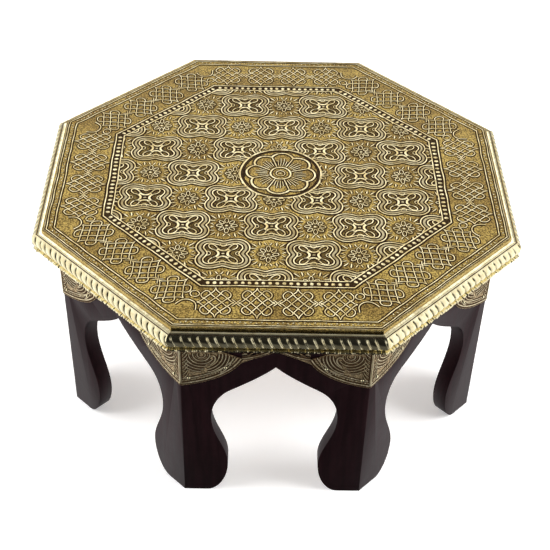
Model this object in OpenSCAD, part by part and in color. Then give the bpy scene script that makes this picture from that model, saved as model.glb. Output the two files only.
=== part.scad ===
// Low octagonal table: a wooden top board clad in embossed sheet brass, with a brass strip over the
// half-round bead on its edge, on a skirt of eight mitred boards sawn out into arches and legs.
// Millimetres, +Z up, origin on the floor under the middle of the top. The front side faces -Y.

/* [Table] */
// Height from the floor to the brass top
table_h = 153; // [145:1:190]
// Width across two opposite edge strips
table_w = 305; // [295:1:360]

/* [Top] */
// Thickness of the wooden top board
board_t = 15; // [14:0.5:18]
// Thickness of the sheet brass, on the top, the edge and the corners
brass_t = 0.8; // [0.5:0.1:1]
// How far the raised top stands in from the outer face of the edge strip
top_inset = 6.7; // [6.5:0.1:9]
// How far the ledge round the raised top lies below it
ledge_drop = 2.2; // [2:0.1:2.6]
// Outer radius of the half-round bead
edge_r = 5.2; // [4.8:0.1:5.4]
// How far the bead stands out from the strip's plain flange
bead_out = 5; // [4.5:0.1:6]

/* [Skirt and legs] */
// How far the skirt stands in from the outer face of the edge strip
skirt_inset = 15.15; // [14:0.05:20]
// Thickness of the eight skirt boards
panel_t = 10.5; // [9:0.5:14]
// Height of the point of the arch
arch_h = 113.4; // [108:0.1:116]
// Half the width of the arch at the leg's narrow neck
neck_x = 38.9; // [34:0.1:42]
// Half the width of the arch at the swelling of the leg
calf_x = 28.7; // [24:0.1:32]
// Half the width of the arch on the floor
foot_x = 42; // [38:0.5:46]

/* [Corner plates] */
// Height of the plate's lowest point, on the corner
plate_tip_z = 98.5; // [94:0.5:104]
// Height of the notch between the two scallops
notch_z = 120.5; // [117:0.5:124]
// Distance of that notch from the corner
notch_s = 37; // [32:0.5:42]

/* [Fixings] */
// Radius of a brass pin's head
pin_head_r = 1; // [0.8:0.1:1.2]
// Radius of the screws that hold the top
screw_r = 1.75; // [1.5:0.05:2]

/* [Hidden] */
$fn = 48;
SIDES = ["front", "front_right", "right", "back_right", "back", "back_left", "left", "front_left"];

half_side = tan(22.5);                      // half a side's length, as a share of its distance from the middle
board_top = table_h - brass_t;
board_z = board_top - board_t;              // underside of the top board, where the skirt ends
edge_y = table_w / 2 - edge_r;              // centre line of the half-round bead
edge_z = table_h - ledge_drop - edge_r;
sheet_y = table_w / 2 - top_inset;          // outer face of the top sheet's lip
board_y = sheet_y - brass_t;
core_r = edge_r - brass_t;                  // wooden bead under the edge strip
flange_y = table_w / 2 - bead_out;          // outer face of the strip's flange below the bead
flange_in_y = flange_y - brass_t;
skirt_y = table_w / 2 - skirt_inset;
skirt_in_y = skirt_y - panel_t;
panel_w = skirt_y * half_side;              // half the width of a skirt board's outer face
calf_z = 26;                                // height of the leg's swelling
neck_z = 68.5;                              // height of the leg's neck
shoulder = [27, 93.2];                      // where the ogee turns from hollow to round
mid_z = 127.5;                              // lower edge of the corner plates where two of them meet
plate_gap = 0.1;                            // half the gap between two corner plates
block_h = 24;
block_wing = 24;                            // how far a corner block runs along each board
block_d = 9;                                // how far it stands in from the boards' ends
screw_l = 33;
screw_head_r = 3.4;
pin_r = 0.5;
pin_l = 6;
pin_head_h = 0.5;
CURVE_STEPS = 12;
FAR = 400;

// Points along a cubic curve from its four control points, without the last one.
function curve(a, b, c, d) = [
    for (i = [0:CURVE_STEPS - 1]) let (t = i / CURVE_STEPS, u = 1 - t)
        u * u * u * a + 3 * u * u * t * b + 3 * u * t * t * c + t * t * t * d
];
function mirrored(points) = [for (i = [len(points) - 1:-1:0]) [-points[i].x, points[i].y]];

// Right half of the arch, from its point down the leg's inner edge to the floor.
ARCH = concat(
    curve([0, arch_h], [6, arch_h - 6.4], [17, 99.5], shoulder),
    curve(shoulder, [shoulder.x + 7.5, 88.4], [neck_x, 79.5], [neck_x, neck_z]),
    curve([neck_x, neck_z], [neck_x, 52], [calf_x, 41], [calf_x, calf_z]),
    curve([calf_x, calf_z], [calf_x, 12], [foot_x - 7, 0], [foot_x, 0]),
    [[foot_x, 0]]
);

// Lower edge of a corner plate: distance from the corner, and height.
SCALLOPS = concat(
    [[0, plate_tip_z]],
    curve([1.5, plate_tip_z], [14, plate_tip_z + 2], [notch_s - 6, 107], [notch_s, notch_z]),
    curve([notch_s, notch_z], [notch_s + 6, notch_z], [panel_w - 7, 124], [panel_w, mid_z]),
    [[panel_w, mid_z]]
);

// Where the pins of one plate's wing go: distance from the corner, and height.
PLATE_PINS = [[5, 104], [27, 113], [46, 128]];
// Where one edge strip's pins go, along its side.
FLANGE_PINS = [-48, -16, 16, 48];

// Turns the front side's shape, or the first corner's, round to side or corner k.
module turned(k) { rotate([0, 0, 45 * k]) children(); }

// The front eighth of all space, between its two mitre planes.
module front_wedge() {
    translate([0, 0, -1])
        linear_extrude(FAR) polygon([[0, 0], [-FAR * half_side, -FAR], [FAR * half_side, -FAR]]);
}

// A moulding along the front side, from its section drawn as [distance from the middle, height].
module front_moulding() {
    intersection() {
        rotate([90, 0, -90]) linear_extrude(FAR, center = true) children();
        front_wedge();
    }
}

// An upright octagonal slab, by the distance of its sides from the middle.
module octagon_slab(y, z0, z1) {
    translate([0, 0, z0])
        linear_extrude(z1 - z0)
            polygon([for (k = [0:7]) y / cos(22.5) * [cos(45 * k + 22.5), sin(45 * k + 22.5)]]);
}

// Section of the whole top board: raised top, half-round bead and the plain edge below it.
module board_section() {
    for (side = [0, 1]) mirror([side, 0]) {
        translate([0, board_z]) square([board_y, board_t]);
        translate([0, board_z]) square([flange_in_y, edge_z - board_z]);
        translate([0, edge_z - core_r]) square([edge_y, 2 * core_r]);
        translate([edge_y, edge_z]) circle(core_r);
    }
}

// The wooden top: what four long bars of that section, crossing at 45 degrees, have in common.
module top_board() {
    color("peru") difference() {
        intersection() {
            turned(0) board_bar();
            turned(1) board_bar();
            turned(2) board_bar();
            turned(3) board_bar();
        }
        edge_pins();
        top_screws();
    }
}

module board_bar() { rotate([90, 0, 0]) linear_extrude(FAR, center = true) board_section(); }

// The embossed brass sheet on the board, with its lip turned down to the ledge.
module top_sheet() {
    color("darkgoldenrod") difference() {
        octagon_slab(sheet_y, table_h - ledge_drop, table_h);
        octagon_slab(board_y, board_z, board_top);
    }
}

// Section of the brass strip: ledge, half-round bead, and the flange pinned below it.
module edge_strip_section() {
    difference() {
        union() {
            translate([edge_y, edge_z]) circle(edge_r);
            translate([board_y, edge_z]) square([edge_y - board_y, edge_r]);
            translate([flange_in_y, board_z]) square([brass_t, edge_z - board_z]);
        }
        translate([edge_y, edge_z]) circle(core_r);
        translate([0, edge_z - core_r]) square([edge_y, 2 * core_r]);
        translate([0, board_z]) square([flange_in_y, edge_z - board_z]);
    }
}

module edge_strip(k) {
    color("gold") difference() {
        turned(k) front_moulding() edge_strip_section();
        edge_pins();
    }
}

// A skirt board: two half legs under an ogee arch, mitred at both ends.
module side_panel(k) {
    color("saddlebrown") difference() {
        turned(k) intersection() {
            translate([0, panel_t - skirt_y, 0]) rotate([90, 0, 0]) linear_extrude(panel_t)
                polygon(concat([[-FAR, 0], [-FAR, board_z], [FAR, board_z], [FAR, 0]],
                               [for (i = [len(ARCH) - 1:-1:1]) ARCH[i]], [ARCH[0]],
                               [for (i = [1:len(ARCH) - 1]) [-ARCH[i].x, ARCH[i].y]]));
            front_wedge();
        }
        plate_pins();
    }
}

// One wing of a corner plate, on the right half of the front board and on past the corner.
module plate_wing() {
    translate([0, -skirt_y, 0]) rotate([90, 0, 0]) linear_extrude(brass_t)
        polygon(concat([for (p = SCALLOPS) [max(panel_w - p.x, plate_gap), p.y]],
                       [[plate_gap, board_z], [FAR, board_z], [FAR, plate_tip_z]]));
}

// The embossed brass plate folded round corner k, between sides k and k + 1.
module corner_plate(k) {
    color("goldenrod") difference() {
        turned(k - 1) intersection() {
            union() {
                plate_wing();
                turned(1) mirror([1, 0, 0]) plate_wing();
            }
            octagon_slab(skirt_y + brass_t, 0, board_z);
        }
        plate_pins();
    }
}

// The glue block inside a corner, with a hole for the screw that holds the top.
module corner_block(k) {
    corner_y = skirt_in_y;
    corner_x = skirt_in_y * half_side;
    color("burlywood") difference() {
        turned(k - 1) intersection() {
            translate([0, 0, board_z - block_h]) union() {
                translate([corner_x - block_wing, -corner_y, 0]) cube([2 * block_wing, block_d, block_h]);
                rotate([0, 0, 45]) mirror([1, 0, 0])
                    translate([corner_x - block_wing, -corner_y, 0]) cube([2 * block_wing, block_d, block_h]);
            }
            octagon_slab(skirt_in_y, 0, board_z);
        }
        top_screws();
    }
}

// A brass pin with its head on z = 0 and its shank below.
module pin() {
    translate([0, 0, -pin_l]) cylinder(h = pin_l + pin_head_h / 2, r = pin_r);
    cylinder(h = pin_head_h, r1 = pin_head_r, r2 = 0.6 * pin_head_r);
}

// The pins through the flanges of the edge strips.
module edge_pins() {
    color("gold") for (k = [0:7]) turned(k) for (x = FLANGE_PINS)
        translate([x, -flange_y, (board_z + edge_z - edge_r) / 2]) rotate([90, 0, 0]) pin();
}

// The pins through the corner plates.
module plate_pins() {
    color("gold") for (k = [0:7]) turned(k) for (p = PLATE_PINS, side = [-1, 1])
        translate([side * (panel_w - p.x), -skirt_y - brass_t, p.y]) rotate([90, 0, 0]) pin();
}

// The countersunk screws up through the corner blocks into the top board.
module top_screws() {
    along = (skirt_in_y - block_d / 2) / cos(22.5);
    color("silver") for (k = [0:7]) rotate([0, 0, 45 * k - 67.5])
        translate([along, 0, board_z - block_h]) {
            cylinder(h = screw_l, r = screw_r);
            cylinder(h = screw_head_r - screw_r, r1 = screw_head_r, r2 = screw_r);
        }
}

top_board();
top_sheet();
for (k = [0:7]) edge_strip(k);
for (k = [0:7]) side_panel(k);
for (k = [1:8]) corner_plate(k);
for (k = [1:8]) corner_block(k);
edge_pins();
plate_pins();
top_screws();
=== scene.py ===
"""Looks of a low octagonal table with an embossed brass top, built round its CAD frame.

The sheet brass, its relief, the rope-moulded edge strips, the folded corner plates and the sawn
skirt boards are built here in millimetres and laid into the frame in metres. Screws, pins, glue
blocks and the wooden top board keep their CAD shapes and get a finish.
"""

import logging
import math
import random
from collections.abc import Iterable, Sequence
from dataclasses import dataclass, field
from enum import Enum
from typing import ClassVar

import bmesh
import bpy
from mathutils import Matrix, Vector, noise


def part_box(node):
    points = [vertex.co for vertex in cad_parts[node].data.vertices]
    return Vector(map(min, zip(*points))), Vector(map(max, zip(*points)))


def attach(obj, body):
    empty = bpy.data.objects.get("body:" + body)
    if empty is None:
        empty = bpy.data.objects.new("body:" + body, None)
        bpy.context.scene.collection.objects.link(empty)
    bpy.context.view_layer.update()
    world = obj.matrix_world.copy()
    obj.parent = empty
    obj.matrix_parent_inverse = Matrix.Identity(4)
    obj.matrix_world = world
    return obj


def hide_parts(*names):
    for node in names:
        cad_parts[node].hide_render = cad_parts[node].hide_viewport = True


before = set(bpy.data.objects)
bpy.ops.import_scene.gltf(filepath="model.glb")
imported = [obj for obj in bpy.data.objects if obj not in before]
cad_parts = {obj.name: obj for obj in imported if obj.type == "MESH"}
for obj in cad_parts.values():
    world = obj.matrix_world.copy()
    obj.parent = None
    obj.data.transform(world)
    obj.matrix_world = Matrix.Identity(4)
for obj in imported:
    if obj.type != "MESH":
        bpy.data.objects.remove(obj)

LOG = logging.getLogger("table")
MM = 0.001
SIDES = ("front", "front_right", "right", "back_right", "back", "back_left", "left", "front_left")
EIGHTH = math.radians(45)
HALF_SIDE = math.tan(EIGHTH / 2)  # half a side's length, as a share of its distance from the middle
SHARP = math.radians(40)  # edges that turn by more than this stay sharp
BODY = "root"
SEED = 40  # every random draw starts here, so each run builds the same table


# Plane drawing, in millimetres

Path = list[Vector]


def point(x: float, y: float) -> Vector:
    """A point of a plane drawing."""
    return Vector((x, y, 0.0))


def polar(radius: float, angle: float, centre: Vector | None = None) -> Vector:
    """The point at a distance and an angle in radians from a centre."""
    at = point(radius * math.cos(angle), radius * math.sin(angle))
    return at + centre if centre else at


def drawn(spots: Sequence[tuple[float, float]]) -> Path:
    """A path through points given by their x and y."""
    return [point(x, y) for x, y in spots]


def spun(spots: Sequence[tuple[float, float]], turn: float) -> Path:
    """A path through points given by radius and angle, turned about the origin."""
    return [polar(radius, turn + angle) for radius, angle in spots]


def arc(centre: Vector, radius: float, start: float, end: float, step: float = 1.2) -> Path:
    """Points along an arc of a circle.

    Args:
        centre: Middle of the circle.
        radius: Its radius.
        start: Angle of the first point, in degrees.
        end: Angle of the last point, in degrees.
        step: Greatest distance between two points.

    Returns:
        The points, both ends included.
    """
    turn = math.radians(end - start)
    count = max(3, math.ceil(abs(turn) * radius / step))
    first = math.radians(start)
    return [polar(radius, first + turn * i / count, centre) for i in range(count + 1)]


def ring(centre: Vector, radius: float, step: float = 1.2) -> Path:
    """Points round a whole circle, without a repeated one."""
    return arc(centre, radius, 0, 360, step)[:-1]


def octagon(apothem: float, step: float = 0.0) -> Path:
    """Corners of an octagon with a side towards -Y, with more points along each side if step is set."""
    corners = [polar(apothem / math.cos(EIGHTH / 2), EIGHTH * (k - 2.5)) for k in range(8)]
    if not step:
        return corners
    count = math.ceil((corners[1] - corners[0]).length / step)
    return [a.lerp(b, i / count) for a, b in zip(corners, corners[1:] + corners[:1]) for i in range(count)]


def rounded(path: Path, closed: bool = False, times: int = 2) -> Path:
    """Cuts a path's corners at a quarter and three quarters of each stretch, several times over.

    Args:
        path: The path's corners.
        closed: Whether it joins up.
        times: How many times its corners are cut.

    Returns:
        The smoother path, with an open path's two ends kept.
    """
    for _ in range(times):
        ends = path[1:] + path[:1] if closed else path[1:]
        cut = [p for a, b in zip(path, ends) for p in (a.lerp(b, 0.25), a.lerp(b, 0.75))]
        path = cut if closed else [path[0], *cut[1:-1], path[-1]]
    return path


def bezier(a: Vector, b: Vector, c: Vector, d: Vector, count: int) -> Path:
    """Points along a cubic curve from its four control points, without the last one."""
    steps = [i / count for i in range(count)]
    return [(1 - t) ** 3 * a + 3 * (1 - t) ** 2 * t * b + 3 * (1 - t) * t * t * c + t**3 * d for t in steps]


def respaced(path: Path, step: float, closed: bool = False) -> Path:
    """The same route with its points at even distances.

    Args:
        path: Points of the route.
        step: Distance between the new points, before it is fitted to the route's length.
        closed: Whether the route joins up.

    Returns:
        The new points, both ends included on an open route.
    """
    points = path + path[:1] if closed else path
    lengths = [(b - a).length for a, b in zip(points, points[1:])]
    count = max(2, round(sum(lengths) / step))
    made, index, passed = [], 0, 0.0
    for i in range(count + (not closed)):
        goal = sum(lengths) * i / count
        while index < len(lengths) - 1 and passed + lengths[index] < goal:
            passed += lengths[index]
            index += 1
        share = (goal - passed) / lengths[index] if lengths[index] else 0.0
        made.append(points[index].lerp(points[index + 1], min(1.0, share)))
    return made


def eased(path: Path, step: float, closed: bool = False, times: int = 2) -> Path:
    """A path with its corners rounded and its points put at even distances."""
    return respaced(rounded(path, closed, times), step, closed)


def moved_in(path: Path, distance: float) -> Path:
    """An open path shifted sideways, to the left of its direction."""
    made = []
    for i, here in enumerate(path):
        along = path[min(i + 1, len(path) - 1)] - path[max(i - 1, 0)]
        made.append(here + Vector((-along.y, along.x, 0)).normalized() * distance)
    return made


# Relief


class Rib(Enum):
    """Sections of embossed lines: across and up, in millimetres, from the left foot to the right.

    The low feet beside a ridge are the shallow furrows of the chasing tool, painted dark: partly the patina
    that stays there, partly painted shade beside the ridge.
    """

    THREAD = ((-1.75, -0.004), (-0.44, 0.055), (-0.26, 0.28), (0.26, 0.28), (0.44, 0.055), (1.75, -0.004))
    CORD = ((-1.95, -0.004), (-0.74, 0.055), (-0.42, 0.28), (0.42, 0.28), (0.74, 0.055), (1.95, -0.004))
    BAND = ((-1.1, 0.04), (-0.8, 0.145), (0.8, 0.145), (1.1, 0.04))
    ROLL = ((-1.1, -0.06), (-0.75, 0.2), (0.0, 0.3), (0.75, 0.2), (1.1, -0.06))
    FURROW = ((-0.8, -0.01), (-0.4, 0.055), (0.4, 0.055), (0.8, -0.01))


class Relief:
    """Embossing worked on a flat sheet: x and y along the sheet, z out of it, in millimetres."""

    FLOOR = -0.06  # how far the foot of every line lies under the sheet's face
    HEIGHT = "height"  # vertex attribute with the height over the sheet, in millimetres
    WAVER = 11.0  # length of the hand's wavering, in millimetres
    DRIFT = 0.55  # how far it carries a line

    def __init__(self) -> None:
        """Starts with nothing on the sheet."""
        self.bm = bmesh.new()

    def line(self, path: Path, rib: Rib, closed: bool = False, width: float = 1.0, height: float = 1.0,
             swell: float = 0.0) -> None:
        """Lays a rib along a path: a grid, one row to each point of the path, wrapped round its section.

        Args:
            path: Middle line of the rib.
            rib: Its section.
            closed: Whether the path joins up. An open rib runs out to a point at both ends.
            width: Factor on the section's width.
            height: Factor on the section's height.
            swell: How much of the width comes only towards the middle of the path, from 0 to 1.
        """
        section = [Vector((x * width, 0, max(z, 0) * height + min(z, 0))) for x, z in rib.value]
        section.append(section[0])
        around, count = len(section), len(path)
        rows = path + path[:1] if closed else path[:1] + path + path[-1:]
        made = bmesh.ops.create_grid(self.bm, x_segments=around - 1, y_segments=len(rows) - 1, size=1.0)
        grid = made["verts"]
        for row, here in enumerate(rows):
            i = row % count if closed else min(max(row - 1, 0), count - 1)
            behind = path[i - 1] if closed or i else path[0]
            ahead = path[(i + 1) % count] if closed or i < count - 1 else path[-1]
            along_in = (here - behind).normalized() if here != behind else (ahead - here).normalized()
            along_out = (ahead - here).normalized() if ahead != here else along_in
            along = (along_in + along_out).normalized()
            wide = 1 - swell + swell * math.sin(math.pi * i / (count - 1)) ** 0.7 if swell else 1.0
            side = Vector((along.y, -along.x, 0)) / max(0.5, along.dot(along_out)) * wide
            tip = not closed and row in (0, len(rows) - 1)
            for column, at in enumerate(section):
                reach = Vector((0, 0, self.FLOOR)) if tip else side * at.x + Vector((0, 0, at.z))
                grid[row * around + column].co = here + reach
        bmesh.ops.remove_doubles(self.bm, verts=grid, dist=1e-4)

    def dome(self, centre: Vector, radius: float, height: float, length: float = 1.0,
             turn: float = 0.0) -> None:
        """Raises a round or oval boss.

        Args:
            centre: Its middle.
            radius: Its radius across.
            height: Its height over the sheet.
            length: Factor on the radius along its own axis.
            turn: Direction of that axis, in radians.
        """
        stretch = Matrix.Diagonal((radius * length, radius, height - self.FLOOR, 1))
        foot = Matrix.Translation(centre + Vector((0, 0, self.FLOOR)))
        place = foot @ Matrix.Rotation(turn, 4, "Z") @ stretch
        sphere = bmesh.ops.create_uvsphere(self.bm, u_segments=8, v_segments=4, radius=1, matrix=place)
        made = sphere["verts"]
        low = [v for v in made if v.co.z < self.FLOOR - 1e-3]
        bmesh.ops.delete(self.bm, geom=low, context="VERTS")
        rim = {e for v in made if v.is_valid for e in v.link_edges if e.is_boundary}
        bmesh.ops.holes_fill(self.bm, edges=list(rim), sides=0)

    def plate(self, outline: Path, height: float) -> None:
        """Raises or darkens a flat area.

        Args:
            outline: Its edge.
            height: Its height over the sheet.
        """
        corners = [self.bm.verts.new(p + Vector((0, 0, self.FLOOR))) for p in outline]
        face = bmesh.ops.contextual_create(self.bm, geom=corners)["faces"][0]
        if face.normal.z < 0:
            bmesh.ops.reverse_faces(self.bm, faces=[face])
        top = bmesh.ops.extrude_face_region(self.bm, geom=[face])["geom"]
        raised = [g for g in top if isinstance(g, bmesh.types.BMVert)]
        bmesh.ops.translate(self.bm, verts=raised, vec=(0, 0, height - self.FLOOR))

    def stamp(self, motif: "Relief", places: Iterable[Matrix]) -> None:
        """Repeats a finished motif over the sheet.

        Args:
            motif: The relief to repeat.
            places: Where each copy goes. A mirrored place gets its faces turned right again.
        """
        original = bpy.data.meshes.new("motif")
        motif.bm.to_mesh(original)
        for place in places:
            copy = original.copy()
            copy.transform(place)
            if place.determinant() < 0:
                copy.flip_normals()
            self.bm.from_mesh(copy)
            bpy.data.meshes.remove(copy)
        bpy.data.meshes.remove(original)

    def cut(self, at: Vector, away: Vector) -> None:
        """Cuts off what lies beyond a plane and closes the cut.

        Args:
            at: A point on the plane.
            away: Direction of the side that goes.
        """
        everything = self.bm.verts[:] + self.bm.edges[:] + self.bm.faces[:]
        bmesh.ops.bisect_plane(self.bm, geom=everything, plane_co=at, plane_no=away, clear_outer=True)
        self.close()

    def close(self) -> None:
        """Fills every open loop."""
        bmesh.ops.holes_fill(self.bm, edges=[e for e in self.bm.edges if e.is_boundary], sides=0)

    def keep_octagon(self, apothem: float) -> None:
        """Cuts the relief to an octagon round the middle."""
        for k in range(8):
            away = polar(1.0, EIGHTH * k)
            self.cut(away * apothem, away)

    def clear_circle(self, centre: Vector, radius: float) -> None:
        """Clears the relief off a round place, by its faces' middles, and closes what is left."""
        inside = [f for f in self.bm.faces if (f.calc_center_median() - centre).to_2d().length < radius]
        bmesh.ops.delete(self.bm, geom=inside, context="FACES")
        self.close()

    def finish(self, name: str, place: Matrix) -> bpy.types.Object:
        """Turns the relief into an object of the scene.

        Args:
            name: The object's name.
            place: Where the sheet lies, from millimetres to millimetres.

        Returns:
            The object, at the origin, with its place in its mesh.
        """
        layer = self.bm.verts.layers.float.new(self.HEIGHT)
        for vert in self.bm.verts:
            vert[layer] = vert.co.z
            drift = noise.noise_vector(vert.co.xy.to_3d() / self.WAVER) * self.DRIFT
            vert.co += Vector((drift.x, drift.y, 0))
        return make_object(self.bm, name, place)


def make_object(bm: bmesh.types.BMesh, name: str, place: Matrix | None = None) -> bpy.types.Object:
    """Makes an object of a bmesh in millimetres and frees the bmesh.

    Args:
        bm: The shape.
        name: The object's name.
        place: Where it goes, in millimetres. The origin if left out.

    Returns:
        The object, at the origin in metres, smooth between soft edges.
    """
    place = place or Matrix.Identity(4)
    bmesh.ops.transform(bm, matrix=Matrix.Scale(MM, 4) @ place, verts=bm.verts[:])
    if place.determinant() < 0:
        bmesh.ops.reverse_faces(bm, faces=bm.faces[:])
    for face in bm.faces:
        face.smooth = True
    for edge in bm.edges:
        edge.smooth = edge.calc_face_angle(0.0) < SHARP
    mesh = bpy.data.meshes.new(name)
    bm.to_mesh(mesh)
    bm.free()
    made = bpy.data.objects.new(name, mesh)
    bpy.context.scene.collection.objects.link(made)
    return made


# Shader building


class Signal:
    """A number that varies over a surface, with Python's operators for its Math nodes."""

    def __init__(self, shader: "Nodes", socket: bpy.types.NodeSocket) -> None:
        """Wraps an output socket.

        Args:
            shader: The node tree that it belongs to.
            socket: The output.
        """
        self.shader = shader
        self.socket = socket

    def _math(self, operation: str, *values: "Signal | float") -> "Signal":
        """Adds a Math node of that operation."""
        inputs = dict(enumerate(values))
        return self.shader.signal("ShaderNodeMath", {"operation": operation}, inputs)

    def __add__(self, other: "Signal | float") -> "Signal":
        """Sum."""
        return self._math("ADD", self, other)

    __radd__ = __add__

    def __mul__(self, other: "Signal | float") -> "Signal":
        """Product."""
        return self._math("MULTIPLY", self, other)

    __rmul__ = __mul__

    def __sub__(self, other: "Signal | float") -> "Signal":
        """Difference."""
        return self._math("SUBTRACT", self, other)

    def __rsub__(self, other: "Signal | float") -> "Signal":
        """Difference from a number."""
        return self._math("SUBTRACT", other, self)

    def __pow__(self, other: "Signal | float") -> "Signal":
        """Power."""
        return self._math("POWER", self, other)

    def spread(self, low: float, high: float) -> "Signal":
        """A smooth step from 0 at low to 1 at high."""
        inputs = {"Value": self, "From Min": low, "From Max": high}
        return self.shader.signal("ShaderNodeMapRange", {"interpolation_type": "SMOOTHSTEP"}, inputs)


Colour = tuple[float, float, float]
Value = Signal | bpy.types.NodeSocket | float | Sequence[float]


class Nodes:
    """A node tree under construction."""

    def __init__(self, tree: bpy.types.NodeTree) -> None:
        """Wraps a tree."""
        self.tree = tree

    def node(self, kind: str, settings: dict | None = None, inputs: dict | None = None) -> bpy.types.Node:
        """Adds any node.

        Args:
            kind: Its type.
            settings: Its own settings.
            inputs: Values or links of its sockets, by name or by number.

        Returns:
            The node.
        """
        made = self.tree.nodes.new(kind)
        for key, value in (settings or {}).items():
            setattr(made, key, value)
        for key, value in (inputs or {}).items():
            self.feed(made.inputs[key], value)
        return made

    def feed(self, socket: bpy.types.NodeSocket, value: Value) -> None:
        """Links a socket to a signal or an output, or sets its value."""
        if isinstance(value, Signal):
            self.tree.links.new(value.socket, socket)
        elif isinstance(value, bpy.types.NodeSocket):
            self.tree.links.new(value, socket)
        else:
            socket.default_value = value

    def signal(self, kind: str, settings: dict | None = None, inputs: dict | None = None,
               output: int | str = 0) -> Signal:
        """Adds a node and wraps one of its outputs."""
        return Signal(self, self.node(kind, settings, inputs).outputs[output])


class Shader(Nodes):
    """A material under construction round one Principled shader."""

    def __init__(self, name: str) -> None:
        """Starts an empty material.

        Args:
            name: The material's name.
        """
        self.material = bpy.data.materials.new(name)
        self.material.use_nodes = True
        super().__init__(self.material.node_tree)
        self.surface = self.tree.nodes["Principled BSDF"]

    def place(self, scale: Sequence[float] = (1, 1, 1)) -> bpy.types.NodeSocket:
        """Object coordinates in metres, scaled."""
        at = self.node("ShaderNodeTexCoord").outputs["Object"]
        return self.node("ShaderNodeMapping", None, {"Vector": at, "Scale": scale}).outputs[0]

    def noise(self, size_mm: float, detail: float = 3, roughness: float = 0.55,
              place: Value | None = None) -> Signal:
        """Noise with features of a size in millimetres, about 0.5 on the mean."""
        inputs = {"Vector": place or self.place(), "Scale": 1 / (size_mm * MM), "Detail": detail,
                  "Roughness": roughness}
        return self.signal("ShaderNodeTexNoise", None, inputs, "Fac")

    def dots(self, size_mm: float) -> Signal:
        """Distance to the nearest of scattered points, as a share of their spacing in millimetres."""
        inputs = {"Vector": self.place(), "Scale": 1 / (size_mm * MM)}
        return self.signal("ShaderNodeTexVoronoi", {"feature": "F1"}, inputs, "Distance")

    def attribute(self, name: str) -> Signal:
        """A vertex attribute."""
        return self.signal("ShaderNodeAttribute", {"attribute_name": name}, None, "Fac")

    def blend(self, factor: Value, a: Value, b: Value) -> bpy.types.NodeSocket:
        """Two colours mixed by a factor."""
        a, b = ((*c, 1.0) if isinstance(c, tuple) else c for c in (a, b))
        return self.node("ShaderNodeMix", {"data_type": "RGBA"}, {0: factor, 6: a, 7: b}).outputs[2]

    def bump(self, *layers: tuple[Signal, float]) -> None:
        """Feeds the shader's normal from heights, each with its depth in millimetres."""
        normal = None
        for height, depth in layers:
            inputs = {"Height": height, "Distance": depth * MM, "Strength": 1.0}
            if normal:
                inputs["Normal"] = normal
            normal = self.node("ShaderNodeBump", None, inputs).outputs["Normal"]
        self.feed(self.surface.inputs["Normal"], normal)

    def set(self, **values: Value) -> "Shader":
        """Sets the shader's own sockets, by their names with underscores for blanks."""
        for name, value in values.items():
            socket = self.surface.inputs[name.replace("_", " ")]
            self.feed(socket, (*value, 1.0) if isinstance(value, tuple) else value)
        return self


# Finishes


@dataclass(frozen=True)
class EmbossedBrass:
    """Sheet brass, chased and darkened: its furrows are painted dark, partly patina and partly painted shade
    beside the ridges, and patina is rubbed off the ridges.
    """

    name: str = "embossed_brass"
    ground: Colour = (0.62, 0.445, 0.125)
    ground_dull: Colour = (0.38, 0.255, 0.07)
    # Near black for the furrows, partly patina and partly painted shade beside the ridges; the stipple's
    # pits take it too.
    patina_and_shade: Colour = (0.030, 0.013, 0.006)
    ridge: Colour = (0.93, 0.81, 0.49)
    ridge_dull: Colour = (0.64, 0.50, 0.23)
    rough: float = 0.46
    hammered: float = 0.16

    def build(self) -> bpy.types.Material:
        """Makes the material."""
        shader = Shader(self.name)
        height = shader.attribute(Relief.HEIGHT)
        cloud = shader.noise(34, 4)
        grain = shader.noise(0.9, 2)
        stipple = shader.dots(1.05)
        ground = shader.blend(cloud.spread(0.36, 0.62), self.ground_dull, self.ground)
        ground = shader.blend((grain + stipple * 0.6).spread(0.62, 0.98) * 0.75, ground, self.patina_and_shade)
        rubbed = shader.blend(shader.noise(7, 3).spread(0.35, 0.65), self.ridge_dull, self.ridge)
        # Painted shade and patina: the low strips beside every ridge go dark.
        dark = height.spread(0.0, 0.011)
        lit = height.spread(0.075, 0.21)
        smooth = height.spread(0.4, 0.8)
        colour = shader.blend(dark * 0.95, ground, self.patina_and_shade)
        colour = shader.blend(lit, colour, rubbed)
        colour = shader.blend(smooth, colour, self.ridge_dull)
        rough = self.rough + (grain - 0.5) * 0.25 + dark * (1 - lit) * 0.2 - lit * 0.14 - smooth * 0.17
        shader.bump((shader.noise(22, 2), 0.5), (stipple, self.hammered), (grain, 0.05))
        return shader.set(Base_Color=colour, Roughness=rough, Metallic=1.0).material


@dataclass(frozen=True)
class PolishedBrass:
    """Brass of the edge strips, buffed on the ropes and browned between them."""

    name: str = "edge_brass"
    bright: Colour = (0.94, 0.86, 0.57)
    dull: Colour = (0.76, 0.65, 0.38)
    browned: Colour = (0.050, 0.020, 0.012)

    def build(self) -> bpy.types.Material:
        """Makes the material."""
        shader = Shader(self.name)
        height = shader.attribute(Relief.HEIGHT)
        wear = shader.noise(5, 4)
        grain = shader.noise(0.6, 2)
        sheen = shader.blend(wear.spread(0.3, 0.7), self.dull, self.bright)
        dark = 1 - (height + (wear - 0.5) * 0.25).spread(-0.95, -0.55)
        colour = shader.blend(dark, sheen, self.browned)
        rough = 0.13 + grain * 0.12 + dark * 0.3
        shader.bump((shader.noise(9, 2), 0.25), (grain, 0.02))
        return shader.set(Base_Color=colour, Roughness=rough, Metallic=1.0).material


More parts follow.
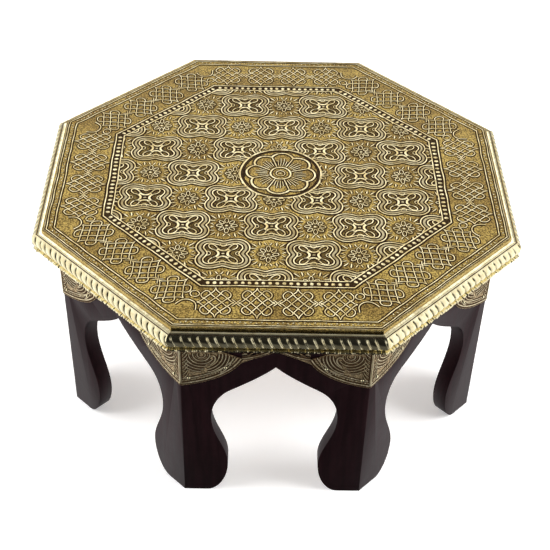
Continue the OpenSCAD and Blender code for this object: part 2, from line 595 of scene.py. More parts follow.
@dataclass(frozen=True)
class StainedWood:
    """Dark mahogany stain under a satin lacquer."""

    name: str = "dark_wood"
    stain: Colour = (0.0130, 0.0038, 0.0053)
    streak: Colour = (0.0072, 0.0023, 0.0031)
    rough: float = 0.4
    shine: float = 0.1
    shine_tint: Colour = (1.0, 0.60, 0.66)

    def build(self) -> bpy.types.Material:
        """Makes the material."""
        shader = Shader(self.name)
        grain = shader.noise(2.2, 5, 0.6, shader.place((1, 1, 0.06)))
        pores = shader.noise(0.5, 2, 0.5, shader.place((1, 1, 0.05)))
        colour = shader.blend(grain.spread(0.35, 0.65), self.streak, self.stain)
        rough = self.rough + (grain - 0.5) * 0.12 + shader.noise(18, 2) * 0.06
        shader.bump((shader.noise(14, 3), 0.15), (pores, 0.04))
        shader.set(Specular_IOR_Level=self.shine, Specular_Tint=self.shine_tint)
        return shader.set(Base_Color=colour, Roughness=rough).material


@dataclass(frozen=True)
class PlainWood:
    """Planed wood without a finish, for what the underside shows."""

    name: str = "plain_wood"
    light: Colour = (0.44, 0.27, 0.15)
    dark: Colour = (0.26, 0.14, 0.07)
    ring_mm: float = 9.0

    def build(self) -> bpy.types.Material:
        """Makes the material."""
        shader = Shader(self.name)
        grain = shader.noise(self.ring_mm, 6, 0.6, shader.place((0.12, 1, 1)))
        fibre = shader.noise(0.7, 3, 0.5, shader.place((0.04, 1, 1)))
        colour = shader.blend((grain * 0.8 + fibre * 0.2).spread(0.38, 0.62), self.dark, self.light)
        shader.bump((fibre, 0.08), (grain, 0.1))
        return shader.set(Base_Color=colour, Roughness=0.6 + fibre * 0.15).material


@dataclass(frozen=True)
class ZincSteel:
    """Zinc-plated steel of the screws."""

    name: str = "screw_steel"
    bright: Colour = (0.66, 0.66, 0.64)
    dull: Colour = (0.42, 0.41, 0.38)

    def build(self) -> bpy.types.Material:
        """Makes the material."""
        shader = Shader(self.name)
        wear = shader.noise(1.6, 4)
        colour = shader.blend(wear.spread(0.35, 0.65), self.dull, self.bright)
        shader.bump((wear, 0.03))
        return shader.set(Base_Color=colour, Roughness=0.28 + wear * 0.2, Metallic=1.0).material


@dataclass(frozen=True)
class PaleFloor:
    """Matt pale floor of the studio, with a faint glow that softens the shadows on it."""

    name: str = "pale_floor"
    white: Colour = (0.90, 0.90, 0.90)
    glow: float = 0.42

    def build(self) -> bpy.types.Material:
        """Makes the material."""
        glow = {"Emission_Color": (0.9, 0.9, 0.9), "Emission_Strength": self.glow}
        return Shader(self.name).set(Base_Color=self.white, Roughness=0.9, **glow).material


@dataclass
class Finishes:
    """Every material of the table. The corner plates are rougher than the sheet, and paler and less
    darkened: partly their own tone, partly painted light for the dim skirt faces.
    """

    embossed: bpy.types.Material = field(default_factory=lambda: EmbossedBrass().build())
    # Paler brass for the plates: partly its own tone, partly painted light that makes up for the dim light
    # on the skirt's faces.
    plates: bpy.types.Material = field(default_factory=lambda: EmbossedBrass(
        "plate_brass_painted_light", ground=(0.92, 0.74, 0.45), ground_dull=(0.72, 0.54, 0.31),
        patina_and_shade=(0.15, 0.085, 0.045), ridge=(0.95, 0.84, 0.58), ridge_dull=(0.80, 0.66, 0.40),
        rough=0.6, hammered=0.6).build())
    edge: bpy.types.Material = field(default_factory=lambda: PolishedBrass().build())
    dark_wood: bpy.types.Material = field(default_factory=lambda: StainedWood().build())
    plain_wood: bpy.types.Material = field(default_factory=lambda: PlainWood().build())
    steel: bpy.types.Material = field(default_factory=lambda: ZincSteel().build())


def dress(piece: bpy.types.Object, material: bpy.types.Material, slot: str,
          *nodes: str) -> bpy.types.Object:
    """Gives a new piece its material and its body, and hides the CAD nodes that it stands for.

    Args:
        piece: The new object.
        material: Its material.
        slot: Not used.
        nodes: The CAD nodes that it replaces.

    Returns:
        The piece.
    """
    piece.data.materials.clear()
    piece.data.materials.append(material)
    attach(piece, BODY)
    if nodes:
        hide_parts(*nodes)
    LOG.info("%-28s %6d faces", piece.name, len(piece.data.polygons))
    return piece


def around(side: int) -> Matrix:
    """Turns the front side's shape round to another side, counted towards the right."""
    return Matrix.Rotation(EIGHTH * side, 4, "Z")


# Top


@dataclass
class EmbossedTop:
    """The brass sheet on the top board and the relief that is worked in it."""

    finish: bpy.types.Material
    relief_depth: float = 0.35
    rim_round: float = 0.4
    # Field of quatrefoils and rosettes
    lattice_origin: Vector = field(default_factory=lambda: point(-0.3, 2.1))
    lattice_u: Vector = field(default_factory=lambda: point(27.6, 0.0))
    lattice_v: Vector = field(default_factory=lambda: point(1.75, 27.4))
    lattice_reach: int = 5
    medallion_at: Vector = field(default_factory=lambda: point(2.3, 3.4))
    medallion_r: float = 26.8
    # Borders, by their distance from the middle
    bead_inner: float = 104.2
    bead_line: float = 106.8
    bead_outer: float = 109.6
    bead_pitch: float = 4.15
    knot_line: float = 124.2
    knot_pitch: float = 24.0
    rim_inner: float = 138.6
    rim_outer: float = 143.2

    def __post_init__(self) -> None:
        """Reads the sheet's size off the frame."""
        low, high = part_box("top_sheet")
        self.half = high.y / MM
        self.top = high.z / MM
        self.lip_z = low.z / MM
        self.level = self.top - self.relief_depth

    def build(self) -> None:
        """Makes the sheet and its reliefs."""
        self.sheet()
        laid = Matrix.Translation((0, 0, self.level))
        for name, relief in (
            ("quatrefoil_field", self.quatrefoil_field()),
            ("rosette_field", self.rosette_field()),
            ("medallion", self.medallion()),
            ("bead_border", self.bead_border()),
            ("knot_border", self.knot_border()),
            ("rim_border", self.rim_border()),
        ):
            dress(relief.finish(name, laid), self.finish, "embossed_brass")

    def sheet(self) -> bpy.types.Object:
        """The sheet: an octagonal slab with a rounded rim, reaching down to its lip."""
        bm = bmesh.new()
        outline = [bm.verts.new(p + Vector((0, 0, self.lip_z))) for p in octagon(self.half)]
        bottom = bmesh.ops.contextual_create(bm, geom=outline)["faces"][0]
        top = bmesh.ops.extrude_face_region(bm, geom=[bottom])["geom"]
        raised = [g for g in top if isinstance(g, bmesh.types.BMVert)]
        bmesh.ops.translate(bm, verts=raised, vec=(0, 0, self.level - self.lip_z))
        rim = [e for e in bm.edges if all(v.co.z > self.level - 1e-3 for v in e.verts)]
        bmesh.ops.bevel(bm, geom=rim, offset=self.rim_round, offset_type="OFFSET", segments=4, profile=0.5,
                        affect="EDGES", material=-1)
        bmesh.ops.recalc_face_normals(bm, faces=bm.faces[:])
        layer = bm.verts.layers.float.new(Relief.HEIGHT)
        for vert in bm.verts:
            vert[layer] = 0.9 if vert.co.z < self.level - self.rim_round * 0.5 else 0.0
        piece = make_object(bm, "brass_sheet")
        return dress(piece, self.finish, "embossed_brass", "top_sheet")

    def spot(self, i: int, j: int) -> Vector:
        """Middle of a cell of the field's lattice."""
        return self.lattice_origin + i * self.lattice_u + j * self.lattice_v

    def cells(self, odd: bool) -> list[Matrix]:
        """Places of the field's quatrefoils, or of its rosettes if odd."""
        reach = range(-self.lattice_reach, self.lattice_reach + 1)
        spots = [self.spot(i, j) for i in reach for j in reach if (i + j) % 2 == odd and (i, j) != (0, 0)]
        return [Matrix.Translation(p) for p in spots if p.length < self.bead_inner + 22]

    def foil(self, inset: float, step: float = 1.4) -> Path:
        """Outline of a quatrefoil with its lobes on the diagonals.

        Args:
            inset: How far inside the outermost outline it runs.
            step: Distance between its points.

        Returns:
            A closed path round the origin.
        """
        corner = drawn([(14.7, 0), (16.7, 3.0), (17.2, 6.6), (16.0, 10.4), (13.0, 13.2), (9.4, 14.3),
                        (5.8, 14.0), (2.6, 12.9), (0, 11.9)])
        corner = [point(p.x - inset * 0.06 * p.x / 15, p.y) for p in rounded(corner, False, 1)]
        bent = moved_in(corner, inset)
        bent = [p for p in bent if p.x > 0.15 and p.y > 0.15]
        start, end = bent[0], bent[-1]
        quarter = [point(start.x - 0.45 * start.y, 0), *bent, point(0, end.y - 0.12 * end.x)]
        mirror = [point(-p.x, p.y) for p in reversed(quarter[:-1])]
        upper = quarter + mirror
        lower = [point(p.x, -p.y) for p in reversed(upper[1:-1])]
        return respaced(upper + lower, step, closed=True)

    def quatrefoil(self) -> Relief:
        """One quatrefoil: two ridges round a plain band, and in it four petals and four crescents."""
        relief = Relief()
        relief.plate(self.foil(4.9, 2.6), 0.006)
        relief.line(self.foil(0.5), Rib.THREAD, closed=True)
        relief.line(self.foil(2.55), Rib.BAND, closed=True, width=0.8)
        relief.line(self.foil(4.6), Rib.THREAD, closed=True)
        petal = drawn([(-4.3, 0), (-1.6, 1.9), (2.2, 2.0), (4.1, 0), (2.2, -2.0), (-1.6, -1.9)])
        for k, lean in enumerate((44, 136, 226, 315)):
            petal_at = math.radians(lean)
            bent = [polar(8.3, petal_at) + Matrix.Rotation(petal_at, 3, "Z") @ p for p in petal]
            relief.line(eased(bent, 1.1, closed=True), Rib.THREAD, closed=True, width=0.85)
            straight = EIGHTH * 2 * k
            reach = 1.15 if k % 2 == 0 else 1.0
            crescent = [(6.7 * reach, -0.56), (3.9, -0.62), (2.5, 0), (3.9, 0.62), (6.7 * reach, 0.56)]
            relief.line(eased(spun(crescent, straight), 1.0), Rib.CORD, width=1.1, swell=0.6)
            hump = [(9.2 * reach, -0.2), (7.0 * reach, -0.16), (6.5 * reach, 0), (7.0 * reach, 0.16),
                    (9.2 * reach, 0.2)]
            relief.line(rounded(spun(hump, straight), times=1), Rib.THREAD, width=0.6, height=0.8)
        relief.dome(point(0, 0), 0.8, 0.3, 1.5)
        return relief

    def rosette(self) -> Relief:
        """One rosette: a bead, eight hollow petals and leaves round them."""
        relief = Relief()
        relief.plate(ring(point(0, 0), 7.6, 2.4), 0.006)
        for k in range(8):
            length = 7.6 if k % 4 == 2 else 6.6
            petal = spun([(2.0, 0), (4.5, -0.33), (length, -0.1), (length, 0.1), (4.5, 0.33)], EIGHTH * k)
            relief.line(eased(petal, 1.1, closed=True, times=1), Rib.THREAD, closed=True, width=0.6)
        relief.dome(point(0, 0), 1.15, 0.34)
        for k in range(4):
            corner, straight = EIGHTH * (2 * k + 1), EIGHTH * 2 * k
            for swing in (-0.3, 0.0, 0.3):
                low, high = (9.0, 12.6) if swing else (9.6, 14.2)
                leaf = spun([(low, swing * 0.7), ((low + high) / 2, swing), (high, swing * 1.1)], corner)
                relief.line(rounded(leaf, times=1), Rib.CORD, width=0.85, height=0.75, swell=0.7)
            for swing in (-0.17, 0.17):
                leaf = spun([(8.4, swing * 0.5), (9.8, swing), (11.2, swing * 1.2)], straight)
                relief.line(leaf, Rib.CORD, width=0.7, height=0.75, swell=0.7)
        return relief

    def trimmed(self, relief: Relief) -> Relief:
        """A field cut to the bead border and cleared where the medallion goes."""
        relief.keep_octagon(self.bead_inner)
        relief.clear_circle(self.medallion_at, self.medallion_r)
        return relief

    def quatrefoil_field(self) -> Relief:
        """All the quatrefoils."""
        relief = Relief()
        relief.stamp(self.quatrefoil(), self.cells(odd=False))
        return self.trimmed(relief)

    def rosette_field(self) -> Relief:
        """All the rosettes."""
        relief = Relief()
        relief.stamp(self.rosette(), self.cells(odd=True))
        return self.trimmed(relief)

    def medallion(self) -> Relief:
        """The lotus in the middle: a ring, eight scalloped petals with strokes, and a button."""
        relief = Relief()
        middle, outer = point(0, 0), self.medallion_r
        petals, notch, tip, twist, steps = 8, 18.9, 22.6, math.radians(-5), 96
        scallop = []
        for i in range(steps):
            angle = math.tau * i / steps
            bulge = abs(math.cos(petals * angle / 2)) ** 0.75
            scallop.append(polar(notch + (tip - notch) * bulge, angle + twist))
        relief.plate(ring(middle, outer, 2.5), 0.0012)
        relief.line(ring(middle, outer), Rib.CORD, closed=True, width=0.95)
        relief.line(ring(middle, outer - 2.2), Rib.FURROW, closed=True, width=0.7)
        relief.line(respaced(scallop, 1.2, True), Rib.CORD, closed=True, width=0.95)
        for k in range(petals):
            angle = math.tau * k / petals + twist
            seam = spun([(r, math.pi / petals) for r in (7.8, 11, 15, 18.6)], angle)
            relief.line(seam, Rib.THREAD, width=0.85)
            for swing, start, end in ((-0.22, 9.4, 14.6), (-0.075, 8.8, 16.8), (0.075, 8.8, 16.8),
                                      (0.22, 9.4, 14.6)):
                stroke = spun([(r, swing) for r in (start, (start + end) / 2, end)], angle)
                relief.line(stroke, Rib.THREAD, width=0.62, height=0.75)
        relief.line(ring(middle, 6.8, 0.9), Rib.CORD, closed=True, width=0.85)
        relief.line(ring(middle, 3.0, 0.7), Rib.THREAD, closed=True, width=0.8, height=0.8)
        relief.dome(middle, 1.1, 0.33)
        moved = Relief()
        moved.stamp(relief, [Matrix.Translation(self.medallion_at)])
        return moved

    def along_side(self, apothem: float, pitch: float, clear: float = 0.0) -> list[float]:
        """Even places along one side at about a pitch, with both ends clear of the mitres."""
        reach = apothem * HALF_SIDE - clear
        count = round(2 * reach / pitch)
        return [reach * (2 * i + 1) / count - reach for i in range(count)]

    def side_band(self, inner: float, outer: float) -> Path:
        """Outline of the front side's stretch between two distances from the middle, mitred."""
        return drawn([(-inner * HALF_SIDE, -inner), (-outer * HALF_SIDE, -outer),
                      (outer * HALF_SIDE, -outer), (inner * HALF_SIDE, -inner)])

    def bead_border(self) -> Relief:
        """Beads and bars between two lines, round the field."""
        relief = Relief()
        bed = Relief()
        bed.plate(self.side_band(self.bead_inner + 0.3, self.bead_outer - 0.5), 0.0095)
        for x in self.along_side(self.bead_line, self.bead_pitch, 1.0):
            bed.dome(point(x, -self.bead_line), 1.45, 0.32, 1.25, math.pi / 2)
        relief.stamp(bed, [around(k) for k in range(8)])
        relief.line(octagon(self.bead_inner, 4), Rib.THREAD, closed=True)
        relief.line(octagon(self.bead_outer, 4), Rib.THREAD, closed=True)
        return relief

    def knot(self) -> Relief:
        """An endless knot, 22 mm along the side and 25 mm across: four sharp corners, four round ears."""
        relief = Relief()
        across, out = Vector((3.67, 4.33, 0)), Vector((-3.67, 4.33, 0))
        edge, track, corner, ear = 1.29, 0.475, 1.5, 2.08

        def at(a: float, b: float) -> Vector:
            """A point in the knot's slanting directions."""
            return a * across + b * out

        outer = []
        for turn in range(4):
            for a, b in ((edge, 0.0), (edge, track), (edge + 0.02, edge - 0.15), (corner, corner),
                         (edge - 0.15, edge + 0.02), (track, edge)):
                for _ in range(turn):
                    a, b = -b, a
                outer.append(at(a, b))
        relief.line(respaced(outer, 1.3, True), Rib.THREAD, closed=True, width=0.76)
        for flip in (False, True):
            loop = []
            for sign in (1, -1):
                bends = [(track, 0.0), (track, edge), (track + 0.16, 1.6), (0.42, ear - 0.06), (0.0, ear),
                         (-0.42, ear - 0.06), (-track - 0.16, 1.6), (-track, edge)]
                loop += [at(sign * b, sign * a) if flip else at(sign * a, sign * b) for a, b in bends]
            relief.line(eased(loop, 1.3, closed=True, times=1), Rib.THREAD, closed=True, width=0.76)
        return relief

    def scroll(self) -> Relief:
        """The arch and two small curls that fill a corner between two sides' knots."""
        relief = Relief()
        arch = drawn([(-6.4, -4.6), (-4.6, 0.6), (0, 2.6), (4.6, 0.6), (6.4, -4.6)])
        relief.line(eased(arch, 1.2), Rib.THREAD, width=0.82)
        for side in (-1, 1):
            curl = drawn([(side * 0.4, 10.6), (side * 3.0, 9.2), (side * 2.4, 6.2), (side * 0.5, 5.4)])
            relief.line(eased(curl, 1.2), Rib.THREAD, width=0.75)
        return relief

    def knot_border(self) -> Relief:
        """Four knots along each side, linked by crossed lines, and an arch in each corner."""
        relief, link = Relief(), Relief()
        knot, scroll = self.knot(), self.scroll()
        starts = [self.knot_pitch * (i - 1.5) for i in range(4)]
        for x in starts[:-1]:
            for side in (-1, 1):
                bend = [point(x + along * self.knot_pitch, out * side - self.knot_line)
                        for along, out in ((0.40, 2.6), (0.46, 1.2), (0.5, 0.0), (0.54, -1.2), (0.60, -2.6))]
                link.line(bend, Rib.THREAD, width=0.72)
        corner = Matrix.Rotation(EIGHTH / 2, 4, "Z")
        corner @= Matrix.Translation((0, -self.knot_line / math.cos(EIGHTH / 2), 0))
        for k in range(8):
            relief.stamp(knot, [around(k) @ Matrix.Translation((x, -self.knot_line, 0)) for x in starts])
            relief.stamp(scroll, [around(k) @ corner])
        relief.stamp(link, [around(k) for k in range(8)])
        return relief

    def rim_border(self) -> Relief:
        """A line of small curls between two lines, and the bright roll along the sheet's rim."""
        relief = Relief()
        middle = (self.rim_inner + self.rim_outer) / 2
        strip = Relief()
        for number, x in enumerate(self.along_side(middle, 3.1, 1.5)):
            lean = 0.7 if number % 2 else -0.7
            strip.dome(point(x, -middle + (0.35 if number % 2 else -0.35)), 0.62, 0.22, 1.8, lean)
        strip.plate(self.side_band(self.rim_inner + 0.2, self.rim_outer - 0.2), 0.002)
        relief.stamp(strip, [around(k) for k in range(8)])
        relief.line(octagon(self.rim_inner, 4), Rib.THREAD, closed=True, width=0.8)
        relief.line(octagon(self.rim_outer, 4), Rib.THREAD, closed=True, width=0.7)
        relief.line(octagon(self.half - 1.2, 4), Rib.ROLL, closed=True, width=0.5, height=0.55)
        return relief


# Edge strips


@dataclass
class RopeEdge:
    """The brass strips over the board's bead: a ledge, a rope of slanting ribs and a flange."""

    finish: bpy.types.Material
    ropes: int = 25
    lean: float = 3.8
    groove: float = 1.3
    rope_from: float = 65.0
    rope_to: float = -52.0
    steps_per_rope: int = 16
    bead_radius: float = 5.2
    flange_in: float = 5.0
    thickness: float = 0.8
    steep: float = 0.16
    sloped: float = 0.34
    looseness: float = 0.09
    ragged: float = 0.6
    LEDGE: ClassVar[float] = -0.57  # marks in place of a depth: how browned the ledge and its crease are
    CREASE: ClassVar[float] = -1.3
    LIP: ClassVar[float] = -0.5

    def __post_init__(self) -> None:
        """Reads the strip's place off the frame."""
        low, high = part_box("edge_strip_front")
        self.outer = -low.y / MM
        self.inner = -high.y / MM
        self.top = high.z / MM
        self.bottom = low.z / MM
        self.bead = Vector((self.outer - self.bead_radius, self.top - self.bead_radius))

    def build(self) -> None:
        """Makes the eight strips."""
        for number, side in enumerate(SIDES):
            node = f"edge_strip_{side}"
            dress(self.strip(number), self.finish, "edge_brass", node)

    def section(self) -> list[tuple[float, float, float]]:
        """The strip's section, once round.

        Returns:
            Points from the ledge's inner edge over the bead to the flange's foot and back inside: distance
            from the middle, height, and how deep the ropes are cut there.
        """
        ledge = [(self.inner + out, self.top - down, mark) for out, down, mark in (
            (0.0, 0.02, self.LEDGE), (1.3, 0.25, self.LEDGE), (2.6, 0.49, self.LEDGE),
            (3.9, 0.74, self.LEDGE), (4.35, 1.05, self.CREASE))]
        rope = []
        steps = 15
        for i in range(steps + 1):
            angle = math.radians(self.rope_from + (self.rope_to - self.rope_from) * i / steps)
            depth = min(1.0, (0.35 + 3.2 * min(i, steps - i)) / steps * 1.6)
            rope.append((self.bead.x + self.bead_radius * math.cos(angle),
                         self.bead.y + self.bead_radius * math.sin(angle), depth))
        lip = [(self.outer - back, self.bottom + up, self.LIP)
               for back, up in ((3.5, 3.8), (2.4, 3.5), (0.9, 3.2), (0.5, 2.6), (1.3, 2.2))]
        face = self.outer - self.flange_in
        flange = [(face + out, self.bottom + up, 0.0)
                  for out, up in ((0.5, 1.1), (0, 0.8), (0, 0.2), (-0.25, 0), (-self.thickness, 0))]
        back_r = self.bead_radius - self.thickness - self.groove
        back = [(face - self.thickness, self.bottom + 3.5, 0.0)]
        for angle in (-60, -20, 20, 60):
            turn = math.radians(angle)
            back.append((self.bead.x + back_r * math.cos(turn), self.bead.y + back_r * math.sin(turn), 0.0))
        back.append((self.inner, self.top - self.thickness - 0.2, 0.0))
        return ledge + rope + lip + flange + back

    def strip(self, number: int) -> bpy.types.Object:
        """One strip: a grid wrapped round the section and cut to the two mitres.

        Args:
            number: Which side it is for, from the front towards the right.

        Returns:
            The piece.
        """
        draw = random.Random(SEED + number)
        section = self.section()
        half = self.outer * HALF_SIDE + 1.5
        pitch = 2 * self.outer * HALF_SIDE / self.ropes
        columns = math.ceil(2 * half / pitch * self.steps_per_rope)
        shifts = [draw.uniform(-self.looseness, self.looseness) for _ in range(self.ropes + 8)]
        depths = [draw.uniform(0.8, 1.1) for _ in range(self.ropes + 8)]
        bm = bmesh.new()
        layer = bm.verts.layers.float.new(Relief.HEIGHT)
        loop = section + section[:1]
        grid = bmesh.ops.create_grid(bm, x_segments=len(loop) - 1, y_segments=columns, size=1.0)["verts"]
        rise = math.sin(math.radians(self.rope_from)) - math.sin(math.radians(self.rope_to))
        span = self.bead_radius * rise
        for row in range(columns + 1):
            x = -half + 2 * half * row / columns
            for column, (y, z, depth) in enumerate(loop):
                fall = (self.bead.y + self.bead_radius - z) / span
                phase = (x - self.lean * fall) / pitch + 4
                nearest = round(phase)
                aside = (phase - nearest - shifts[nearest % len(shifts)]) * 2
                flank = self.sloped if aside < 0 else self.steep
                lobe = math.sin(min(1.0, abs(aside)) * math.pi / 2) ** flank
                sink = self.groove * depths[nearest % len(depths)] * max(depth, 0.0) * (1 - lobe)
                out = Vector((y - self.bead.x, z - self.bead.y))
                out = out.normalized() if depth > 0 else Vector((0, 0))
                if depth == self.LIP:
                    y += self.ragged * noise.noise((x / 1.3, number * 7.0, z / 3))
                    y += 0.3 * noise.noise((x / 6, number * 5.0, 0))
                    z += 0.5 * noise.noise((x / 1.1, number * 3.0, z / 2))
                vert = grid[row * len(loop) + column]
                vert.co = Vector((x, -(y - out.x * sink), z - out.y * sink))
                vert[layer] = min(depth, -sink)
        bmesh.ops.remove_doubles(bm, verts=bm.verts[:], dist=1e-4)
        for end in (-1, 1):
            away = Vector((end, HALF_SIDE, 0)).normalized()
            geometry = bm.verts[:] + bm.edges[:] + bm.faces[:]
            cut = bmesh.ops.bisect_plane(bm, geom=geometry, plane_co=(0, 0, 0), plane_no=away,
                                         clear_outer=True)
            open_end = [e for e in cut["geom_cut"] if isinstance(e, bmesh.types.BMEdge)]
            bmesh.ops.holes_fill(bm, edges=open_end, sides=0)
        bmesh.ops.recalc_face_normals(bm, faces=bm.faces[:])
        return make_object(bm, f"rope_strip_{SIDES[number]}", around(number))


# Corner plates


@dataclass
class CornerPlates:
    """The embossed plates folded round the skirt's corners."""

    finish: bpy.types.Material
    tip_z: float = 98.5
    notch_s: float = 37.0
    notch_z: float = 120.5
    end_z: float = 127.5
    thickness: float = 0.8
    relief_depth: float = 0.3
    shell_s: float = 13.0
    shell_z: float = 123.5

    def __post_init__(self) -> None:
        """Reads the skirt's place off the frame."""
        low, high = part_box("side_panel_front")
        self.skirt = -low.y / MM
        self.top = high.z / MM
        self.half = high.x / MM

    def build(self) -> None:
        """Makes the eight plates, each with its relief."""
        for number in range(8):
            node = f"corner_plate_{number + 1}"
            dress(self.relief(number), self.finish, "embossed_brass", node)

    def edge(self) -> Path:
        """The plate's scalloped lower edge: distance from the corner, and height."""
        first = bezier(point(0, self.tip_z), point(14, self.tip_z + 2), point(self.notch_s - 6, 107),
                       point(self.notch_s, self.notch_z), 24)
        second = bezier(point(self.notch_s, self.notch_z), point(self.notch_s + 6, self.notch_z),
                        point(self.half - 7, 124), point(self.half - 0.1, self.end_z), 16)
        return first + second + [point(self.half - 0.1, self.end_z)]

    def wing(self) -> Relief:
        """One wing, flat: x away from the corner, y up."""
        relief = Relief()
        edge = self.edge()
        scallop = [p for p in edge if p.x <= self.notch_s]
        tail = [p for p in edge if p.x >= self.notch_s]
        relief.plate(edge + [point(self.half - 0.1, self.top), point(0, self.top)], 0.0)
        relief.line(respaced(moved_in(scallop, 0.7), 1.2), Rib.THREAD, width=1.0)
        relief.line(respaced(moved_in(tail, 0.6), 1.2), Rib.THREAD, width=0.8)
        relief.line([point(0.35, self.tip_z + 0.5), point(0.35, self.top)], Rib.THREAD, width=0.9)
        for at in respaced(moved_in(scallop, 2.7), 1.9)[1:-1]:
            relief.dome(at, 0.62, 0.24)
        relief.line(respaced(moved_in(scallop, 4.4), 1.2)[2:], Rib.THREAD, width=0.75)
        eye = point(self.shell_s, self.shell_z)
        for radius, start, end in ((2.4, 150, 390), (5.0, 168, 372), (7.4, 180, 330)):
            relief.line(arc(eye, radius, start, end, 1.0), Rib.THREAD, width=0.72)
        comma = eye + point(7.6, -3.2)
        hook = [comma + p for p in drawn([(-2.6, -5.4), (0.2, -2.6), (1.0, 0.6), (-0.4, 3.0), (-2.4, 2.2)])]
        relief.line(eased(hook, 1.0), Rib.CORD, width=0.75, swell=0.5)
        for radius, start, end in ((10.6, 296, 364), (12.6, 286, 364), (14.6, 284, 362), (16.6, 290, 358),
                                   (18.6, 306, 354)):
            relief.line(arc(eye, radius, start, end, 1.1), Rib.THREAD, width=0.72)
        for radius, start, end in ((9.6, 206, 286), (11.8, 214, 276), (14.0, 226, 268)):
            relief.line(arc(eye, radius, start, end, 1.1), Rib.THREAD, width=0.7)
        for i in range(7):
            low = point(1.8, 103.5 + 3.3 * i)
            feather = [low, low + point(2.0, 1.8), low + point(3.0, 4.2)]
            relief.line(rounded(feather, False, 1), Rib.THREAD, width=0.7, swell=0.4)
        for s, z in ((35.0, 127.5), (38.5, 124.6), (42.5, 127.0), (46.5, 130.0), (50.5, 131.2),
                     (41.0, 131.5)):
            leaf = drawn([(s - 1.5, z - 0.6), (s, z + 0.3), (s + 1.5, z + 0.2)])
            relief.line(leaf, Rib.CORD, width=0.7, swell=0.7)
        relief.cut(point(0, self.top), Vector((0, 1, 0)))
        relief.cut(point(0.0, 0), Vector((-1, 0, 0)))
        relief.cut(point(self.half - 0.1, 0), Vector((1, 0, 0)))
        return relief

    def relief(self, number: int) -> bpy.types.Object:
        """One plate: its two wings, laid on the two boards that meet at a corner.

        Args:
            number: The corner, from the front's right one towards the right.

        Returns:
            The piece.
        """
        face = self.skirt + self.thickness - self.relief_depth
        corner = face * HALF_SIDE
        flat = self.wing().bm
        layer = flat.verts.layers.float.new(Relief.HEIGHT)
        for vert in flat.verts:
            vert[layer] = vert.co.z
            if vert.co.z <= Relief.FLOOR + 1e-6:
                vert.co.z = self.relief_depth - self.thickness
        right = Matrix(((-1, 0, 0, corner), (0, 0, -1, -face), (0, 1, 0, 0), (0, 0, 0, 1)))
        left = around(1) @ Matrix(((1, 0, 0, -corner), (0, 0, -1, -face), (0, 1, 0, 0), (0, 0, 0, 1)))
        mesh = bpy.data.meshes.new("wing")
        flat.to_mesh(mesh)
        flat.free()
        both = bmesh.new()
        for place in (right, left):
            copy = mesh.copy()
            copy.transform(place)
            if place.determinant() < 0:
                copy.flip_normals()
            both.from_mesh(copy)
            bpy.data.meshes.remove(copy)
        bpy.data.meshes.remove(mesh)
        return make_object(both, f"folded_plate_{number + 1}", around(number))


# Skirt


@dataclass
class Skirt:
    """The eight sawn boards, with the saw's sharp edges rubbed down."""

    finish: bpy.types.Material
    rubbed: float = 0.45
    facet: float = 25.0

    def build(self) -> None:
        """Makes the eight boards from merged copies of their CAD solids."""
        for side in SIDES:
            node = f"side_panel_{side}"
            piece = soft_edged(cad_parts[node], f"board_{side}", self.rubbed, self.facet)
            dress(piece, self.finish, "dark_wood", node)


def soft_edged(cad: bpy.types.Object, name: str, width: float, facet: float) -> bpy.types.Object:
    """A copy of a CAD solid with its sharp edges rounded over.

    Args:
        cad: The CAD node.
        name: Name of the new piece.
        width: Width of the rounding, in millimetres.
        facet: Edges under this angle in degrees belong to a curved face and stay.

    Returns:
        The piece.
    """
    bm = bmesh.new()
    bm.from_mesh(cad.data)
    bmesh.ops.transform(bm, matrix=Matrix.Scale(1 / MM, 4), verts=bm.verts[:])
    bmesh.ops.remove_doubles(bm, verts=bm.verts[:], dist=1e-3)
    bmesh.ops.dissolve_limit(bm, angle_limit=math.radians(0.5), verts=bm.verts[:], edges=bm.edges[:])
    sharp = [e for e in bm.edges if e.calc_face_angle(0.0) > math.radians(facet)]
    bmesh.ops.bevel(bm, geom=sharp, offset=width, offset_type="OFFSET", segments=2, profile=0.5,
                    affect="EDGES", clamp_overlap=True, material=-1)
    return make_object(bm, name)


# Carried-over CAD nodes


def finish_nodes(finishes: Finishes) -> None:
    """Gives every CAD node that stays its finish."""
    plans = {"top_board": finishes.plain_wood, "edge_pins": finishes.edge, "plate_pins": finishes.edge,
             "top_screws": finishes.steel}
    plans |= {f"corner_block_{k}": finishes.plain_wood for k in range(1, 9)}
    for node, material in plans.items():
        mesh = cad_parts[node].data
        mesh.materials.clear()
        mesh.materials.append(material)


# Studio


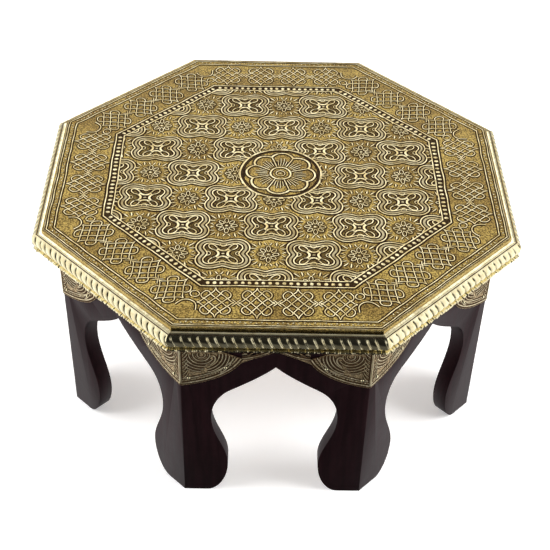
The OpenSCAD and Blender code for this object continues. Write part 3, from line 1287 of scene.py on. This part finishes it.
@dataclass
class Studio:
    """Floor, lights and camera."""

    camera_at: tuple[float, float, float] = (-0.01205, -0.63841, 0.62035)
    aim: tuple[float, float, float] = (-0.0011, -0.0806, 0.1367)
    roll: float = math.radians(1.72)
    sensor: float = 36.0
    lens: float = 78.5
    room_pale: float = 0.48
    room_dark: float = 0.014
    room_side: float = 0.85
    room_edge: float = 0.4
    room_floor: float = 0.09

    def build(self) -> None:
        """Makes everything."""
        self.camera()
        self.floor()
        self.backdrop()
        self.lights()

    def camera(self) -> None:
        """The camera, a little rolled."""
        data = bpy.data.cameras.new("camera")
        data.sensor_width, data.lens = self.sensor, self.lens
        data.clip_start, data.clip_end = 0.01, 50
        made = bpy.data.objects.new("camera", data)
        bpy.context.scene.collection.objects.link(made)
        at, aim = Vector(self.camera_at), Vector(self.aim)
        ahead = (aim - at).normalized()
        right = ahead.cross(Vector((0, 0, 1))).normalized()
        up = right.cross(ahead)
        turn, lift = math.cos(self.roll), math.sin(self.roll)
        level_right, level_up = right * turn + up * lift, up * turn - right * lift
        axes = Matrix((level_right, level_up, -ahead)).transposed().to_4x4()
        made.matrix_world = Matrix.Translation(at) @ axes
        bpy.context.scene.camera = made

    def floor(self) -> None:
        """A wide pale floor just under the feet. Gloss doesn't see it, so the dark lacquer stays dark."""
        bm = bmesh.new()
        bmesh.ops.create_grid(bm, x_segments=1, y_segments=1, size=6000)
        made = make_object(bm, "floor", Matrix.Translation((0, 0, -0.05)))
        made.data.materials.append(PaleFloor().build())
        made.visible_glossy = False

    def backdrop(self) -> None:
        """A wide pale dome that only the camera sees, beyond the lights."""
        bm = bmesh.new()
        bmesh.ops.create_uvsphere(bm, u_segments=48, v_segments=24, radius=5000)
        made = make_object(bm, "backdrop")
        made.data.materials.append(PaleFloor("pale_backdrop", (0.0, 0.0, 0.0), 1.0).build())
        made.visible_glossy = made.visible_diffuse = made.visible_shadow = made.visible_transmission = False

    def lamp(self, name: str, at: Sequence[float], aim: Sequence[float], size: tuple[float, float],
             watts: float, mirrored: bool = False) -> None:
        """A soft rectangular light.

        Args:
            name: Its name.
            at: Its place.
            aim: What it points at.
            size: Its width and height.
            watts: Its power.
            mirrored: Whether the metal mirrors it. At the sides the metal mirrors the room alone.
        """
        data = bpy.data.lights.new(name, "AREA")
        data.shape, data.size, data.size_y, data.energy = "RECTANGLE", *size, watts
        made = bpy.data.objects.new(name, data)
        bpy.context.scene.collection.objects.link(made)
        made.location = at
        made.rotation_euler = (Vector(aim) - Vector(at)).to_track_quat("-Z", "Y").to_euler()
        made.visible_glossy = mirrored

    def lights(self) -> None:
        """Soft lights from the left, the right and behind, in a pale room that is dark in front."""
        middle = (0, 0, 0.1)
        self.lamp("left_light", (-1.4, -0.15, 0.85), middle, (0.9, 1.8), 26)
        self.lamp("right_light", (1.4, -0.25, 0.85), middle, (0.9, 1.8), 34)
        self.lamp("back_light", (0.0, 1.5, 1.5), middle, (2.4, 1.2), 15.0, mirrored=True)
        bpy.context.scene.world = self.room()
        bpy.context.scene.view_settings.view_transform = "Standard"

    def room(self) -> bpy.types.World:
        """The room round the table: pale behind, bright at both sides and dark in front."""
        world = bpy.data.worlds.new("room")
        world.use_nodes = True
        room = Nodes(world.node_tree)
        direction = room.node("ShaderNodeTexCoord").outputs["Generated"]

        def towards(x: float, y: float, z: float) -> Signal:
            """How far a ray goes along a direction."""
            inputs = {0: direction, 1: (x, y, z)}
            return room.signal("ShaderNodeVectorMath", {"operation": "DOT_PRODUCT"}, inputs, "Value")

        aside, below = towards(1, 0, 0), towards(0, 0, -1)
        pale = self.room_dark + self.room_pale * towards(0, 1, -0.1).spread(0.0, 0.45)
        turned = aside * aside * (1.0 - below * below * 0.9) ** -1.0
        sides = self.room_side * turned.spread(0.34, 0.74) + self.room_edge * turned.spread(0.75, 1.0)
        glow = self.room_floor * below.spread(0.05, 0.5)
        room.feed(world.node_tree.nodes["Background"].inputs["Strength"], pale + sides + glow)
        world.node_tree.nodes["Background"].inputs["Color"].default_value = (1, 1, 1, 1)
        return world


def corners(bounds: tuple[Vector, Vector]) -> list[list[float]]:
    """A box's two corners as plain lists."""
    return [list(corner) for corner in bounds]


def main() -> None:
    """Builds the table round its frame."""
    logging.basicConfig(level=logging.INFO, format="%(message)s")
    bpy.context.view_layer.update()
    noise.seed_set(SEED)
    Studio().build()
    finishes = Finishes()
    EmbossedTop(finishes.embossed).build()
    RopeEdge(finishes.edge).build()
    CornerPlates(finishes.plates).build()
    Skirt(finishes.dark_wood).build()
    finish_nodes(finishes)


if __name__ == "__main__":
    main()
